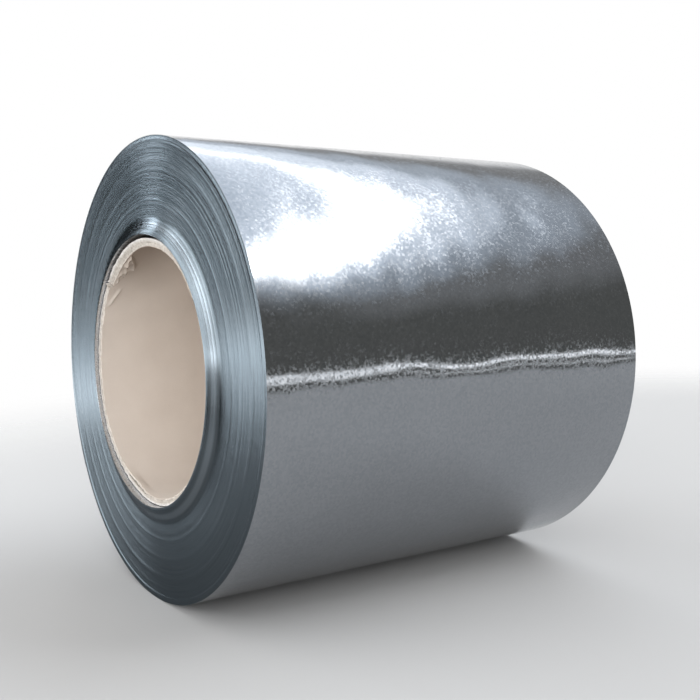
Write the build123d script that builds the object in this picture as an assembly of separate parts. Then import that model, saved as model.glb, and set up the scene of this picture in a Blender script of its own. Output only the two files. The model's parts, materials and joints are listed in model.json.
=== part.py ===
"""Galvanised steel coil lying on its barrel: a wound strip on a paper core sleeve.

Millimetres. The coil's axis runs along Y and Z is up. The floor is at Z = 0, and the
origin is on it, under the middle of the coil. The near end, which is the one that the
inner turns have slipped out of, faces -Y.
"""

import os

from build123d import *

# Strip: the rolled sheet that the coil is wound from
strip_width = 914.0
strip_gauge = 1.0

# Coil: outer size, and where the strip's two ends lie round the axis, from +X towards +Z
coil_outer_radius = 465.0
outer_tail_angle = 214.0
inner_head_angle = 118.0

# Sleeve: the paper core tube that lines the bore, with its loose fit in the first turn
sleeve_bore_radius = 254.0
sleeve_wall = 14.0
sleeve_length = 914.0
sleeve_slack = 4.0
seat_gap = 0.3

# Telescoping: how far the first turns and the sleeve have slid out of the near end
turn_slip = 14.0
sleeve_slip = 3.0

# One overrun serves all cuts
overrun = 5.0

# Outline of an end from the bore outwards: each point is a share of the wound thickness, and the
# share of the first turns' slip there. The first turns make a cone, and the others stand in bands.
end_point_shares = (
    (0.0, 1.0),
    (0.055, 0.65),
    (0.095, 0.0),
    (0.33, 0.0),
    (0.33, 0.07),
    (0.36, 0.07),
    (0.36, 0.0),
    (0.53, 0.0),
    (0.53, 0.08),
    (0.56, 0.08),
    (0.56, 0.02),
    (0.73, 0.02),
    (0.73, 0.09),
    (0.76, 0.09),
    (0.76, 0.0),
    (0.94, 0.0),
    (0.94, 0.1),
    (0.97, 0.1),
    (0.97, 0.03),
    (1.0, 0.03),
)

# Worked out from the sizes above
sleeve_outer_radius = sleeve_bore_radius + sleeve_wall
steel_bore_radius = sleeve_outer_radius + sleeve_slack
wound_thickness = coil_outer_radius - steel_bore_radius
half_width = strip_width / 2
half_sleeve = sleeve_length / 2
resting_radius = coil_outer_radius - strip_gauge
near_reach = max(half_width + turn_slip, half_sleeve + sleeve_slip)
far_reach = max(half_width, half_sleeve - sleeve_slip)
middle = (near_reach - far_reach) / 2


def turn_outline(tail_radius, tail_angle):
    """One whole turn seen along the axis, ending one gauge further out than it began.

    Half the turn is an arc about the axis. The other half is an arc of half a gauge more
    radius that runs on from it, and a radial step at the tail closes the outline.
    """
    start_radius = tail_radius - strip_gauge
    mean_radius = tail_radius - strip_gauge / 2
    shift = strip_gauge / 2
    first_half = ThreePointArc((start_radius, 0), (0, start_radius), (-start_radius, 0))
    second_half = ThreePointArc((-start_radius, 0), (shift, -mean_radius), (tail_radius, 0))
    cut_edge = Line((tail_radius, 0), (start_radius, 0))
    outline = make_face(Wire([first_half, second_half, cut_edge]))
    return Plane.XZ * Rot(0, 0, tail_angle) * outline


def wound_profile():
    """Half section of the winding: a bar whose two ends follow the slip of the turns.

    It runs past the first and the last turn by the overrun, for the outlines to trim.
    """
    slips = [slip_share * turn_slip for _, slip_share in end_point_shares]
    radii = [steel_bore_radius + share * wound_thickness for share, _ in end_point_shares]
    slips = [slips[0], *slips, slips[-1]]
    radii = [steel_bore_radius - strip_gauge - overrun, *radii, coil_outer_radius + overrun]
    near_points = [(radius, -half_width - slip) for radius, slip in zip(radii, slips)]
    far_points = [(radius, half_width - slip) for radius, slip in zip(radii, slips)]
    return make_face(Polyline(*near_points, *reversed(far_points), close=True))


def wound_steel_strip():
    """The winding: a turned bar, trimmed inside and out to the strip's first and last turn."""
    turned = revolve(wound_profile(), Axis.Y)
    reach = half_width + turn_slip + overrun
    last_turn = turn_outline(coil_outer_radius, outer_tail_angle)
    first_turn = turn_outline(steel_bore_radius, inner_head_angle)
    trimmed = turned & extrude(last_turn, amount=reach, both=True)
    return trimmed - extrude(first_turn, amount=reach, both=True)


def paper_core_sleeve():
    """The paper tube, slid out of the near end and lying on the bottom of the steel bore."""
    ring = Circle(sleeve_outer_radius) - Circle(sleeve_bore_radius)
    tube = extrude(Plane.XZ * ring, amount=half_sleeve, both=True)
    drop = sleeve_slack - strip_gauge - seat_gap
    return Pos(0, -sleeve_slip, -drop) * tube


coil_place = Pos(0, middle, resting_radius)
pieces = {
    "wound_steel_strip": wound_steel_strip(),
    "paper_core_sleeve": paper_core_sleeve(),
}

os.makedirs("parts", exist_ok=True)
for node, piece in pieces.items():
    export_step(coil_place * piece, f"parts/{node}.step")
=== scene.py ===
"""A galvanised steel coil on a paper core sleeve, lying on its barrel on a pale studio floor.

Metres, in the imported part's own frame: the coil's axis lies along Y, its near end faces -Y and Z is up.
"""
import json
import math

import bmesh
import bpy
import numpy as np
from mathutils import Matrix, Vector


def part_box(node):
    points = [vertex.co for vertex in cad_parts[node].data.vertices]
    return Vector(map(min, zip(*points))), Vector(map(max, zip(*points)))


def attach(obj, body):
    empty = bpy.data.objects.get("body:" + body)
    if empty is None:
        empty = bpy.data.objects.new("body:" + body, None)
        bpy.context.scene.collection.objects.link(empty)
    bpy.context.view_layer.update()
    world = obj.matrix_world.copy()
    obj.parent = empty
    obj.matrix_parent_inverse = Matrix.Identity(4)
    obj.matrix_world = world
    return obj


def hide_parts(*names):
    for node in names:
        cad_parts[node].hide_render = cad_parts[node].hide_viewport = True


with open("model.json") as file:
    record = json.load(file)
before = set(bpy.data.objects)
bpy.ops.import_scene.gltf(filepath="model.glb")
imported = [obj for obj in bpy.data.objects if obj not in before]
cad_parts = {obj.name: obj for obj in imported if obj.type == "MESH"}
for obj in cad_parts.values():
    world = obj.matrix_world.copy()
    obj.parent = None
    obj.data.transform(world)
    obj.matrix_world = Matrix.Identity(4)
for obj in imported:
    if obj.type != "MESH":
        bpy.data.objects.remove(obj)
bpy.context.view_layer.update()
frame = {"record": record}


# Wound steel strip
# One long sheet of 1 mm steel with a zinc skin, wound up tight on itself. The skin shows on the barrel, and
# the strip's slit edges, one for each turn, make the two ends. Some turns have slipped in handling.

strip_gauge = 0.001
first_turn_slip = 0.014
sleeve_slack = 0.004
millimetre_decimals = 3
strip_low, strip_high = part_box("wound_steel_strip")
sleeve_low, sleeve_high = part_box("paper_core_sleeve")
coil_radius = round((strip_high.z - strip_low.z + strip_gauge) / 2, millimetre_decimals)
axis_height = coil_radius - strip_gauge
sleeve_radius = round((sleeve_high.z - sleeve_low.z) / 2, millimetre_decimals)
strip_bore_radius = sleeve_radius + sleeve_slack
wound_thickness = coil_radius - strip_bore_radius
strip_near_end = strip_low.y + first_turn_slip
strip_width = strip_high.y - strip_near_end
turns = round(wound_thickness / strip_gauge)
tail_angle = math.radians(214.0)

steps_round = 240
steps_along_barrel = 12
steps_along_bore = 3

# Slip of the turns from the bore outwards, as shares of the wound thickness and of the first turns' slip:
# the first turns stand out in a rounded shoulder, and four bands of the others stand out a little
shoulder_share = 0.197
band_point_shares = (
    (0.32, 0.0), (0.34, 0.03), (0.355, 0.03), (0.38, 0.0),
    (0.51, 0.0), (0.54, 0.03), (0.555, 0.03), (0.58, 0.01),
    (0.71, 0.01), (0.735, 0.035), (0.76, 0.035), (0.79, 0.0),
    (0.93, 0.0), (0.945, 0.06), (0.97, 0.05), (0.98, 0.03), (1.0, 0.03),
)

# How far one turn strays from its neighbours, drawn at four places on each turn
stray_places_a_turn = 4
stray_reach = 0.00006
stray_draws = np.random.default_rng(11).normal(0.0, stray_reach, turns * stray_places_a_turn + 1)


def ease(value, low, high):
    """0 below low and 1 above high, with a smooth step between."""
    share = np.clip((value - low) / (high - low), 0.0, 1.0)
    return share * share * (3 - 2 * share)


def turn_radius(turn):
    """Radius of the spiral: the coil's own less one gauge for each turn counted inwards from the tail."""
    return coil_radius - strip_gauge * turn


def turn_end(turn):
    """Y of the strip's near edge: the end plane less the slip at the turn's radius and the turn's stray."""
    share = (turn_radius(turn) - strip_bore_radius) / wound_thickness
    slip = 1 - ease(share, 0.0, shoulder_share) + np.interp(share, *np.transpose(band_point_shares))
    stray = np.interp(turn * stray_places_a_turn, np.arange(len(stray_draws)), stray_draws)
    return strip_near_end - first_turn_slip * slip - stray


def round_axis(radius, angle, along, height=axis_height):
    """Points of a turned form: X and Z go round the axis, from +X towards +Z, and Y goes along it."""
    radius, angle, along = np.broadcast_arrays(radius, angle, along)
    return np.stack((radius * np.cos(angle), along, height + radius * np.sin(angle)), axis=-1)


def joined_piece(name, patches, attributes=()):
    """Joins grids of points into one mesh.

    A patch is its points, the number of its material and its values for each named attribute. Points that
    are the same to the micrometre become one, so the patches' shared borders and seams close.
    """
    micrometre_decimals = 6
    sharp_angle = math.radians(40.0)
    points, quads, slots, first = [], [], [], 0
    for grid, slot, _ in patches:
        rows, columns = grid.shape[:2]
        number = first + np.arange(rows * columns).reshape(rows, columns)
        corners = number[:-1, :-1], number[:-1, 1:], number[1:, 1:], number[1:, :-1]
        quads.append(np.stack(corners, axis=-1).reshape(-1, 4))
        slots.append(np.full(len(quads[-1]), slot))
        points.append(grid.reshape(-1, 3))
        first += rows * columns
    points, quads, slots = np.concatenate(points), np.concatenate(quads), np.concatenate(slots)
    rounded = np.round(points, micrometre_decimals)
    _, kept, merged = np.unique(rounded, axis=0, return_index=True, return_inverse=True)
    quads = merged.ravel()[quads]
    faces = [tuple(dict.fromkeys(quad)) for quad in quads.tolist()]
    whole = [number for number, face in enumerate(faces) if len(face) > 2]

    mesh = bpy.data.meshes.new(name)
    mesh.from_pydata(points[kept], [], [faces[number] for number in whole])
    mesh.polygons.foreach_set("material_index", slots[whole].astype(np.int32))
    for column, attribute in enumerate(attributes):
        values = np.concatenate([np.ravel(patch[2][column]) for patch in patches])[kept]
        layer = mesh.attributes.new(attribute, "FLOAT", "POINT")
        layer.data.foreach_set("value", values.astype(np.float32))
    shell = bmesh.new()
    shell.from_mesh(mesh)
    bmesh.ops.recalc_face_normals(shell, faces=shell.faces)
    shell.to_mesh(mesh)
    shell.free()
    mesh.shade_smooth()
    mesh.set_sharp_from_angle(angle=sharp_angle)
    piece = bpy.data.objects.new(name, mesh)
    bpy.context.scene.collection.objects.link(piece)
    return piece


def strip_patches():
    """The wound strip's two ends, barrel, bore and the cut end of its tail, each as a grid.

    Along a row of an end the angle goes once round from the tail and the turn falls by one, so that the
    rows make one spiral. The turn of its last row is held at the first turn of the winding.
    """
    share = np.linspace(0.0, 1.0, steps_round + 1)
    angle = tail_angle + 2 * np.pi * share
    turn = np.minimum(np.arange(turns + 1)[:, None] + 1 - share, turns)
    radius = turn_radius(turn)
    near = turn_end(turn)
    near_end = round_axis(radius, angle, near)
    far_end = round_axis(radius, angle, near + strip_width)

    along = np.linspace(0.0, strip_width, steps_along_barrel + 1)[:, None]
    last_turn = 1 - share
    barrel = round_axis(turn_radius(last_turn), angle, turn_end(last_turn) + along)
    tail_turn = np.array((0.0, 1.0))
    tail = round_axis(turn_radius(tail_turn), tail_angle, turn_end(tail_turn) + along)
    along = np.linspace(0.0, strip_width, steps_along_bore + 1)[:, None]
    first_turn = np.full(share.shape, float(turns))
    bore = round_axis(turn_radius(first_turn), angle, turn_end(first_turn) + along)
    sheet_skin, slit_edge = 0, 1
    return [
        (near_end, slit_edge, (turn,)),
        (far_end, slit_edge, (turn,)),
        (barrel, sheet_skin, (np.zeros(barrel.shape[:2]),)),
        (tail, sheet_skin, (np.zeros(tail.shape[:2]),)),
        (bore, sheet_skin, (np.full(bore.shape[:2], turns),)),
    ]


class Shade:
    """A socket of a node tree. An expression on such sockets and numbers adds the Math nodes for it."""

    def __init__(self, tree, socket=None):
        self.tree = tree
        self.socket = socket

    def node(self, kind, settings=(), sockets=(), output=0):
        """Adds a node of one type: its settings come first, then its sockets' values or links."""
        made = self.tree.nodes.new(kind)
        for setting, value in dict(settings).items():
            setattr(made, setting, value)
        for socket, value in dict(sockets).items():
            if isinstance(value, Shade):
                self.tree.links.new(value.socket, made.inputs[socket])
            else:
                made.inputs[socket].default_value = value
        return Shade(self.tree, made.outputs[output])

    def math(self, operation, *values):
        """One operation on numbers."""
        return self.node("ShaderNodeMath", {"operation": operation}, enumerate(values))

    def vector(self, operation, *values):
        """One operation on vectors."""
        return self.node("ShaderNodeVectorMath", {"operation": operation}, enumerate(values))

    def noise(self, scale, detail):
        """Noise over this place on the piece, with so many lumps to the metre."""
        return self.node("ShaderNodeTexNoise", (), {"Vector": self, "Scale": scale, "Detail": detail})

    def attribute(self, name):
        """A value that the mesh carries at its points."""
        return self.node("ShaderNodeAttribute", {"attribute_name": name}, (), "Fac")

    def scaled(self, length):
        """This vector times a number."""
        return self.node("ShaderNodeVectorMath", {"operation": "SCALE"}, {0: self, "Scale": length})

    def __add__(self, other):
        return self.math("ADD", self, other)

    def __radd__(self, other):
        return self.math("ADD", other, self)

    def __sub__(self, other):
        return self.math("SUBTRACT", self, other)

    def __rsub__(self, other):
        return self.math("SUBTRACT", other, self)

    def __mul__(self, other):
        return self.math("MULTIPLY", self, other)

    def __rmul__(self, other):
        return self.math("MULTIPLY", other, self)

    def __pow__(self, other):
        return self.math("POWER", self, other)

    def rise(self, low, high):
        """0 below low and 1 above high, with a smooth step between them. Low may be the higher one."""
        if low > high:
            return 1 - self.rise(high, low)
        settings = {"interpolation_type": "SMOOTHSTEP"}
        return self.node("ShaderNodeMapRange", settings, {"Value": self, "From Min": low, "From Max": high})

    def colour(self, low, high):
        """The colour low where this value is 0, the colour high where it is 1, and a mix between."""
        ends = {"Factor": self, 6: as_colour(low), 7: as_colour(high)}
        return self.node("ShaderNodeMix", {"data_type": "RGBA", "clamp_factor": True}, ends, 2)

    def feed(self, shader, socket):
        """Links this value to a socket of a shader."""
        self.tree.links.new(self.socket, shader.inputs[socket])


def as_colour(value):
    """A colour of three numbers gets its fourth, and a socket stays as it is."""
    return value if isinstance(value, Shade) else (*value, 1.0)


def new_finish(name):
    """An empty material, its Principled shader, and the place on the piece that its patterns start from."""
    material = bpy.data.materials.new(name)
    material.use_nodes = True
    tree = material.node_tree
    place = Shade(tree).node("ShaderNodeTexCoord", output="Object")
    return material, tree.nodes["Principled BSDF"], place


def zinc_skin():
    """Hot-dip zinc: a dull mirror of crystals a few millimetres wide, each with its own lean and dullness.

    Long shallow waves run over it. In the bore, where it was never weathered, it is paler.
    """
    crystal_size = 0.0045
    crystal_lean = 0.02
    wave_height = 0.004
    darkest, palest = (0.24, 0.258, 0.28), (0.345, 0.36, 0.38)
    bore_zinc = (0.6, 0.62, 0.65)

    material, shader, place = new_finish("zinc_skin")
    crystal = place.node("ShaderNodeTexVoronoi", (), {"Vector": place, "Scale": 1 / crystal_size}, "Color")
    draw = place.node("ShaderNodeSeparateColor", (), {0: crystal})
    stray = draw.math("FRACT", draw * 37.0)
    dull = draw.math("FRACT", draw * 53.0) ** 2.0
    fine = place.noise(scale=900.0, detail=2.0)
    broad = place.noise(scale=9.0, detail=3.0)
    bore = place.attribute("turn").rise(turns - 1.0, turns - 0.5)

    tone = 0.4 * draw + 0.3 * fine + 0.3 * broad
    weathered = tone.colour(darkest, palest)
    bore.colour(weathered, bore_zinc).feed(shader, "Base Color")
    (0.04 + 0.02 * fine + 0.17 * dull + 0.2 * bore).feed(shader, "Roughness")
    shader.inputs["Metallic"].default_value = 1.0

    normal = place.node("ShaderNodeNewGeometry", output="Normal")
    aside = place.vector("SUBTRACT", crystal, (0.5,) * 3)
    tilt = aside.scaled(crystal_lean * stray ** 3.0)
    tilted = place.vector("NORMALIZE", place.vector("ADD", normal, tilt))
    wave = place.noise(scale=6.0, detail=1.0)
    bump_sockets = {"Strength": 1.0, "Distance": wave_height, "Height": wave, "Normal": tilted}
    place.node("ShaderNodeBump", (), bump_sockets).feed(shader, "Normal")
    return material


def slit_edges():
    """Slit steel edges: each turn's edge leans a little its own way along the radius, as fine grooves do.

    Where the first turns have slipped past each other they show some of their pale skin, and there is a
    bright burr at the bore.
    """
    darkest, palest = (0.058, 0.069, 0.077), (0.1, 0.116, 0.128)
    slipped_steel = (0.155, 0.178, 0.197)
    burr_steel = (0.28, 0.316, 0.347)
    grazing_tint = (0.53, 0.55, 0.57, 1.0)

    material, shader, place = new_finish("slit_edges")
    turn = place.attribute("turn")

    def ring_noise(scale, detail):
        """Noise that is the same all along a turn, with so many lumps to the turn."""
        sockets = {"W": turn, "Scale": scale, "Detail": detail}
        return place.node("ShaderNodeTexNoise", {"noise_dimensions": "1D"}, sockets)

    grooves = ring_noise(scale=9.0, detail=1.0)
    fine = ring_noise(scale=1.3, detail=2.0)
    bands = ring_noise(scale=0.21, detail=3.0)
    slipped = turn.rise(turns - 28.0, turns - 22.0) * turn.rise(turns - 10.0, turns - 17.0)
    burr = turn.rise(turns - 2.0, turns - 1.2)
    tone = 0.5 * fine + 0.8 * bands - 0.15
    steel = slipped.colour(tone.colour(darkest, palest), slipped_steel)
    burr.colour(steel, burr_steel).feed(shader, "Base Color")
    shader.inputs["Metallic"].default_value = 1.0
    shader.inputs["Specular Tint"].default_value = grazing_tint
    (0.10 + 0.10 * bands).feed(shader, "Roughness")

    from_axis = place.vector("SUBTRACT", place, (0.0, 0.0, axis_height))
    radial = place.vector("NORMALIZE", place.vector("MULTIPLY", from_axis, (1.0, 0.0, 1.0)))
    tilt = radial.scaled(1.2 * grooves + 0.2 * fine + 0.25 * bands - 0.89 + 0.7 * burr)
    normal = place.node("ShaderNodeNewGeometry", output="Normal")
    place.vector("NORMALIZE", place.vector("ADD", normal, tilt)).feed(shader, "Normal")
    return material


wound_strip = joined_piece("wound_strip", strip_patches(), ["turn"])
wound_strip.data.materials.append(zinc_skin())
wound_strip.data.materials.append(slit_edges())
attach(wound_strip, "root")
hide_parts("wound_steel_strip")


# Paper core sleeve
# A thick tube of glued paper plies that the strip was wound on. It is loose in the bore and lies on the
# bottom of it. Its near rim has been knocked and torn, and its inner ply has crumpled near the top left.

bore_mount = next(mount for mount in frame["record"]["mounts"] if mount["name"] == "bore")
sleeve_bore_radius = bore_mount["dims"]["r_mm"] / 1000
sleeve_axis_height = bore_mount["pos_m"][2]
sleeve_length = sleeve_high.y - sleeve_low.y
sleeve_steps_round = 720
sleeve_plies = 8

# Damage to the near rim. Its places round the sleeve are in degrees, from +X towards +Z: where it starts
# and is full, and then where it starts to fade and is gone
torn_angle = 139.5
torn_width = 1.6
tear_reach = 0.0018
outer_plies_out = 0.0045
outer_plies_start = (66, 96)
inner_plies_back = 0.003
inner_plies_start = (84, 112)
left_out = 0.003
left_fade = (205, 240)
bottom_back = 0.004
bottom_start = (225, 255)
ply_reach = 0.0005
fray_reach = 0.0013
fray_stretch = (246, 262, 300, 335)
slit_ply = 3
slit_depth = 0.014
slit_stretch = (241, 247, 257, 264)

# The crumpled inner ply. The flap's three corners are an angle and a depth behind the rim. A fold over it
# has a lift, and its wave's phase for each degree, for each metre of depth and at the start
flap_corners = ((110.0, 0.001), (123.0, 0.036), (139.0, 0.003))
flap_lift = 0.009
flap_folds = ((0.005, 0.36, 120.0, 0.0), (0.004, 0.21, -210.0, 1.2))
flap_sunk = 0.003
flap_soft_share = 0.08
flap_root_depth = 0.005

# The crease that slants down from the flap to the rim
crease_lift = 0.003
crease_width = 0.003
crease_low_angle = 150
crease_span = 9
crease_low_depth = 0.008
crease_run = 0.016
crease_stretch_shares = (-0.2, 0.2, 0.8, 1.2)

# Where the inner ply stands off the wall, and where the outer plies have spread towards the steel
top_lift = 0.0028
top_stretch = (62, 85, 130, 138)
top_depth = 0.012
slit_lift = 0.0045
slit_angle = 252
slit_spread = 8
slit_lift_depths = (0.002, 0.022)
flare_share = 0.8
flare_stretch = (138, 144, 215, 245)
flare_depth = 0.03


def stretch(value, rise_low, rise_high, fall_low, fall_high):
    """1 over a stretch of values and 0 outside it, with a smooth step at each end."""
    return ease(value, rise_low, rise_high) * (1 - ease(value, fall_low, fall_high))


def ragged(angle, first_wave, last_wave, seed):
    """Uneven line round the sleeve: the sum of cosines of many whole waves, each with its own drawn phase."""
    waves = np.arange(first_wave, last_wave + 1)
    phases = np.random.default_rng(seed).uniform(0.0, 2 * np.pi, len(waves))
    return np.cos(np.multiply.outer(angle, waves) + phases).sum(axis=-1) / math.sqrt(len(waves) / 2)


def rim_proud(degrees, wall_share):
    """How far the near rim stands out of the sleeve's end plane, by angle and share of the wall from inside.

    The outer plies stand out over the top as far as the tear, and the inner ones are torn back there. Past
    the tear the left stands out, and from the bottom on to +X the rim is knocked back. Each ply ends
    unevenly, a slit opens between plies at the lower left, and the bottom is frayed.
    """
    angle = np.radians(degrees)
    before_tear = degrees < torn_angle
    left = left_out * ~before_tear * (1 - ease(degrees, *left_fade))
    past_tear = left - bottom_back * ease(degrees, *bottom_start)
    outer = outer_plies_out * ease(degrees, *outer_plies_start) * before_tear + past_tear
    inner = -inner_plies_back * ease(degrees, *inner_plies_start) * before_tear + past_tear
    proud = inner + (outer - inner) * ease(wall_share, 0.05, 0.95)
    plies = np.round(wall_share * sleeve_plies)
    for ply in range(sleeve_plies + 1):
        proud = proud + (plies == ply) * ply_reach * ragged(angle, 3, 90, 20 + ply)
    slit = slit_depth * stretch(degrees, *slit_stretch) * (plies == slit_ply)
    frayed = stretch(degrees, *fray_stretch)
    fray = fray_reach * frayed * ragged(angle, 90, 300, 5) * (1 - wall_share)
    torn = np.exp(-((degrees - torn_angle) / torn_width) ** 2)
    tear = tear_reach * torn * ragged(angle, 120, 340, 8)
    return proud - slit + fray + tear


def crumple(degrees, depth):
    """How far the inner ply is pushed into the bore at each angle and depth behind the rim.

    The flap is a triangle from the rim: it lifts evenly from its far corner to the edge between the other
    two. Sharp folds, which are one less the size of a sine, run over it two ways. A round crease slants down
    from it to the rim. The inner ply also stands off the wall over the top and along the slit.
    """
    (x_1, y_1), (x_2, y_2), (x_3, y_3) = flap_corners
    area = (y_2 - y_3) * (x_1 - x_3) + (x_3 - x_2) * (y_1 - y_3)
    to_rim = ((y_2 - y_3) * (degrees - x_3) + (x_3 - x_2) * (depth - y_3)) / area
    to_deep = ((y_3 - y_1) * (degrees - x_3) + (x_1 - x_3) * (depth - y_3)) / area
    to_far = 1 - to_rim - to_deep
    within = ease(np.minimum(np.minimum(to_rim, to_deep), to_far), 0.0, flap_soft_share)
    flap = flap_lift * (1 - to_far)
    for fold_lift, by_degree, by_depth, start in flap_folds:
        flap = flap + fold_lift * (1 - np.abs(np.sin(by_degree * degrees + by_depth * depth + start)))
    flap = within * (flap - flap_sunk) * ease(depth, 0.0, flap_root_depth)

    up_crease = (crease_low_angle - degrees) / crease_span
    from_crease = (depth - crease_low_depth - crease_run * up_crease) / crease_width
    crease = crease_lift * np.exp(-from_crease ** 2) * stretch(up_crease, *crease_stretch_shares)
    top = top_lift * stretch(degrees, *top_stretch) * (1 - ease(depth, 0.0, top_depth))
    beside_slit = np.exp(-((degrees - slit_angle) / slit_spread) ** 2)
    slit = slit_lift * beside_slit * (1 - ease(depth, *slit_lift_depths))
    return flap + crease + top + slit


def flare(degrees, depth):
    """How far the outer plies spread towards the steel at the left, most at the rim."""
    lowered = axis_height - sleeve_axis_height
    room = sleeve_slack - strip_gauge + lowered * np.sin(np.radians(degrees))
    return flare_share * room * stretch(degrees, *flare_stretch) * (1 - ease(depth, 0.0, flare_depth))


def sleeve_patches():
    """The sleeve's inside, near rim, outside and far rim, each as a grid of angles and places along it.

    The inside and the outside start at the uneven rim, and even out behind it.
    """
    angle = np.linspace(0.0, 2 * np.pi, sleeve_steps_round + 1)
    degrees = np.degrees(angle)
    degrees[-1] = 0.0
    wall_share = np.linspace(0.0, 1.0, sleeve_plies + 1)[:, None]
    near_rim_y = sleeve_low.y - rim_proud(degrees, wall_share)
    at_rim = np.zeros(1)

    def depths(fine_reach, fine_steps, coarse_steps):
        """Depths behind the rim, in fine steps near it and coarse ones from there to the far rim."""
        fine = np.linspace(0.0, fine_reach, fine_steps + 1)
        coarse = np.linspace(fine_reach, sleeve_length, coarse_steps + 1)
        return np.concatenate((fine, coarse[1:]))[:, None]

    def wall_y(depth, rim_y, even_depth):
        """Y along a wall: its depth, and the rim's unevenness that eases off to nothing at a depth."""
        follow_rim = 1 - ease(depth, 0.0, even_depth)
        return sleeve_low.y + depth + follow_rim * (rim_y - sleeve_low.y)

    def ring(radius, along):
        """Points all round the sleeve at a radius and a place along it."""
        return round_axis(radius, angle, along, sleeve_axis_height)

    def marks(grid, rim, ply):
        """The values of a patch: 1 on a rim and 0 elsewhere, and the share of the wall from inside."""
        shape = grid.shape[:2]
        return np.full(shape, rim), np.broadcast_to(ply, shape)

    rim_inside = sleeve_bore_radius - crumple(degrees, at_rim)
    rim_outside = sleeve_radius + flare(degrees, at_rim)
    near_rim = ring(rim_inside + wall_share * (rim_outside - rim_inside), near_rim_y)
    depth = depths(0.05, 25, 12)
    inside = ring(sleeve_bore_radius - crumple(degrees, depth), wall_y(depth, near_rim_y[0], 0.06))
    depth = depths(0.04, 5, 6)
    outside = ring(sleeve_radius + flare(degrees, depth), wall_y(depth, near_rim_y[-1], 0.1))
    far_rim = ring(sleeve_bore_radius + wall_share * (sleeve_radius - sleeve_bore_radius), sleeve_high.y)
    return [
        (inside, 0, marks(inside, 0.0, 0.0)),
        (near_rim, 0, marks(near_rim, 1.0, wall_share)),
        (outside, 0, marks(outside, 0.0, 1.0)),
        (far_rim, 0, marks(far_rim, 1.0, wall_share)),
    ]


def core_paper():
    """Grey-brown paper: soft mottling on the wall, and cut plies on the rim, cream inside and greyer outside.

    Over the top inside the rim the wall is painted darker brown towards the top, as painted shade.
    """
    darkest, palest = (0.58, 0.51, 0.45), (0.72, 0.65, 0.585)
    # Painted shade: a dark brown laid on the wall over the top of the bore near the rim, standing in for
    # shadow
    painted_shade_brown = (0.21, 0.155, 0.115)
    painted_shade_foot, painted_shade_top = 0.12, 0.27
    painted_shade_start, painted_shade_reach = 0.01, 0.22
    dark_cream, pale_cream = (0.29, 0.255, 0.22), (0.52, 0.475, 0.425)
    dark_grey, pale_grey = (0.42, 0.4, 0.38), (0.6, 0.57, 0.54)
    fibre_height = 0.0008

    material, shader, place = new_finish("core_paper")
    mottle = place.noise(scale=14.0, detail=4.0)
    fibre = place.noise(scale=450.0, detail=2.0)
    torn = place.noise(scale=170.0, detail=3.0)
    wall = (0.7 * mottle + 0.3 * fibre).colour(darkest, palest)
    parts = place.node("ShaderNodeSeparateXYZ", (), {0: place})
    _, along, height = (Shade(place.tree, socket) for socket in parts.socket.node.outputs)
    # Painted shade: the wall darkens to brown towards the top of the bore and towards the rim
    over_top = height.rise(sleeve_axis_height + painted_shade_foot, sleeve_axis_height + painted_shade_top)
    painted_shade = 0.9 * over_top * along.rise(sleeve_low.y + painted_shade_reach, sleeve_low.y + painted_shade_start)
    wall = painted_shade.colour(wall, painted_shade_brown)
    rim = place.attribute("rim")
    ply = place.attribute("ply")
    plies = ply.math("PINGPONG", ply * (sleeve_plies / 2), 0.5)
    frayed = 2.2 * torn - 0.6 + 0.5 * plies
    cream = frayed.colour(dark_cream, pale_cream)
    grey = frayed.colour(dark_grey, pale_grey)
    cut = ply.rise(0.55, 0.9).colour(cream, grey)
    rim.colour(wall, cut).feed(shader, "Base Color")
    shader.inputs["Roughness"].default_value = 0.85
    bump_sockets = {"Strength": 0.6, "Distance": fibre_height, "Height": 0.3 * fibre + rim * torn}
    place.node("ShaderNodeBump", (), bump_sockets).feed(shader, "Normal")
    return material


paper_core = joined_piece("paper_core", sleeve_patches(), ["rim", "ply"])
paper_core.data.materials.append(core_paper())
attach(paper_core, "root")
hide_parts("paper_core_sleeve")


# Studio
# A plain pale floor that fades out at its edge, a long light overhead, a white backdrop behind the coil and
# dark walls with bright panels at its sides, with the camera at the photograph's place.

floor_radius = 4.6
floor_fade_share = 0.6
floor_middle = (1.3, 1.3, 0.0)
floor_grey = (0.56, 0.56, 0.56, 1.0)
floor_steps_round = 96
floor_rings = 12


def studio_floor():
    """A flat disc: rings of points out to the floor's radius, as a turned form laid down on the ground."""
    angle = np.linspace(0.0, 2 * np.pi, floor_steps_round + 1)
    radius = np.linspace(0.0, floor_radius, floor_rings + 1)[:, None]
    x, z, y = np.moveaxis(round_axis(radius, angle, 0.0, 0.0), -1, 0)
    return np.stack((x, y, z), axis=-1) + floor_middle


def floor_paint():
    """Pale matt paint that fades to nothing at the floor's edge."""
    material, shader, place = new_finish("floor_paint")
    shader.inputs["Base Color"].default_value = floor_grey
    shader.inputs["Roughness"].default_value = 0.9
    shader.inputs["Specular IOR Level"].default_value = 0.1
    from_middle = place.vector("SUBTRACT", place, floor_middle)
    distance = place.node("ShaderNodeVectorMath", {"operation": "LENGTH"}, {0: from_middle}, "Value")
    distance.rise(floor_radius, floor_radius * floor_fade_share).feed(shader, "Alpha")
    return material


floor = joined_piece("studio_floor", [(studio_floor(), 0, ())])
floor.data.materials.append(floor_paint())

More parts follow.
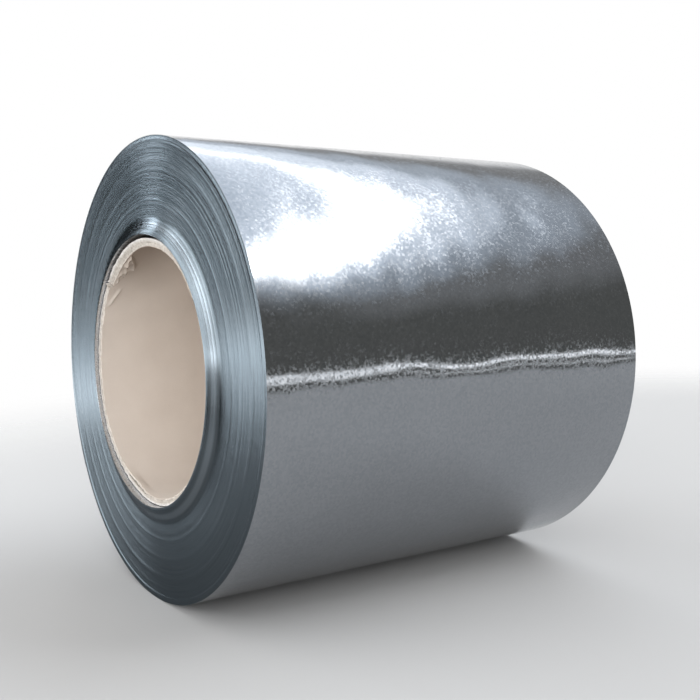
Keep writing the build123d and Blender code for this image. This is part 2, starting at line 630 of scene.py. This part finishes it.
# Panels of the studio, each laid over the ones before it: azimuth from +Y towards +X, counted from -270 to
# 90, and elevation in degrees, soft edge, rise of its elevation for each degree of azimuth, colour, strength
studio_level = 0.4
studio_panels = [
    # ceiling
    (-400, 400, 42, 100, 8, 0.0, (1.0, 1.0, 1.0), 0.85),
    # beyond the floor's edge
    (-400, 400, -100, -9, 3, 0.0, (1.0, 1.0, 1.0), 0.4),
    # dark wall at the coil's left
    (-165, -76, -100, 27, 6, 0.0, (0.97, 1.0, 1.0), 0.03),
    # bright panels on that wall, and further round towards the camera
    (-190, -129.5, 1, 24, 4, 0.0, (0.97, 0.99, 1.0), 0.9),
    (-158, -119.7, 0, 21, 4, 0.0, (0.97, 0.99, 1.0), 8.0),
    (-205, -160, -16, 3, 4, 0.0, (0.97, 0.99, 1.0), 1.5),
    (-114.2, -110, 8.5, 22, 1.5, 0.0, (0.96, 0.98, 1.0), 20.0),
    (-129, -122.7, 8.5, 22.5, 1.5, 0.0, (0.97, 0.99, 1.0), 11.0),
    # dark wall at the coil's right
    (-30, 82, -14, 60, 6, 0.0, (1.0, 1.0, 0.94), 0.2),
    # white backdrop behind the coil
    (-80, -24, -60, 26, 3, 0.0, (1.0, 1.0, 1.0), 1.0),
    # three bright slots in the right wall, near the height of the floor's edge
    (53, 66, -2.6, 0.8, 0.6, 0.0, (1.0, 1.0, 1.0), 2.2),
    (34, 54, -1.2, 0.2, 0.5, 0.0, (1.0, 1.0, 1.0), 2.8),
    (34, 52, -3.7, -3.0, 0.3, 0.0, (1.0, 1.0, 1.0), 1.6),
    # fill beside the camera
    (-260, -188, 2, 38, 8, 0.0, (1.0, 0.99, 0.98), 3.3),
    # strip light at the coil's left
    (-169, -82, -6.1, -2.9, 2.6, -0.14, (0.97, 0.99, 1.0), 10.0),
]

# Overhead light across the coil: a long trough whose steps are the angle over the coil from +Y. Each has a
# soft edge, a rise of that angle for each degree of azimuth, a colour and a strength
trough_left_end = (-72, -60)
trough_right_end = (58, 44)
trough_foot = (15, 22)
trough_steps = [
    (31, 5, 0.0, (1.0, 1.0, 1.0), 0.38),
    (41, 3, 0.0, (0.84, 0.92, 1.02), 0.9),
    (46.4, 1.8, -0.02, (0.86, 0.93, 1.02), 1.9),
    (51.2, 1.8, -0.045, (0.98, 0.99, 1.0), 4.2),
    (53.2, 0.8, -0.03, (1.0, 1.0, 1.0), 22.0),
    (54.8, 0.8, 0.0, (0.96, 0.98, 1.0), 3.6),
    (57.0, 1.8, 0.035, (0.86, 0.93, 1.02), 2.1),
    (61.0, 2.0, 0.035, (0.84, 0.92, 1.02), 1.7),
    (68, 4, 0.0, (1.0, 1.0, 1.0), 0.9),
]


def studio_light():
    """The world's colour by direction: a plain grey, with each panel and each trough step laid over it."""
    world = bpy.data.worlds.new("studio_light")
    bpy.context.scene.world = world
    world.use_nodes = True
    tree = world.node_tree
    to_degrees = 180 / math.pi
    way = Shade(tree).node("ShaderNodeTexCoord", output="Generated")
    parts = way.node("ShaderNodeSeparateXYZ", (), {0: way})
    x, y, z = (Shade(tree, socket) for socket in parts.socket.node.outputs)
    azimuth = way.math("ARCTAN2", y, 0 - x) * to_degrees - 90
    elevation = way.math("ARCSINE", z) * to_degrees
    over = way.math("ARCTAN2", z, y) * to_degrees
    light = (studio_level,) * 3
    for left, right, low, high, soft, lean, colour, strength in studio_panels:
        level = elevation - lean * (azimuth - (left + right) / 2)
        inside = azimuth.rise(left - soft, left + soft) * azimuth.rise(right + soft, right - soft)
        inside = inside * level.rise(low - soft, low + soft) * level.rise(high + soft, high - soft)
        light = inside.colour(light, [strength * part for part in colour])
    reach = azimuth.rise(*trough_left_end) * azimuth.rise(*trough_right_end) * elevation.rise(*trough_foot)
    for low, soft, lean, colour, strength in trough_steps:
        level = over - lean * azimuth
        lit = reach * level.rise(low - soft, low + soft)
        light = lit.colour(light, [strength * part for part in colour])
    light.feed(tree.nodes["Background"], "Color")


studio_light()
bpy.context.scene.view_settings.view_transform = "Standard"

camera_place = (1.8316, -1.2415, 0.6838)
camera_turn = 55.06
camera_dip = 5.19
camera_lens = 50.4
camera_film_width = 36.0
camera = bpy.data.objects.new("camera", bpy.data.cameras.new("camera"))
camera.data.lens = camera_lens
camera.data.sensor_width = camera_film_width
camera.location = camera_place
camera.rotation_euler = (math.radians(90 - camera_dip), 0.0, math.radians(camera_turn))
bpy.context.scene.collection.objects.link(camera)
bpy.context.scene.camera = camera
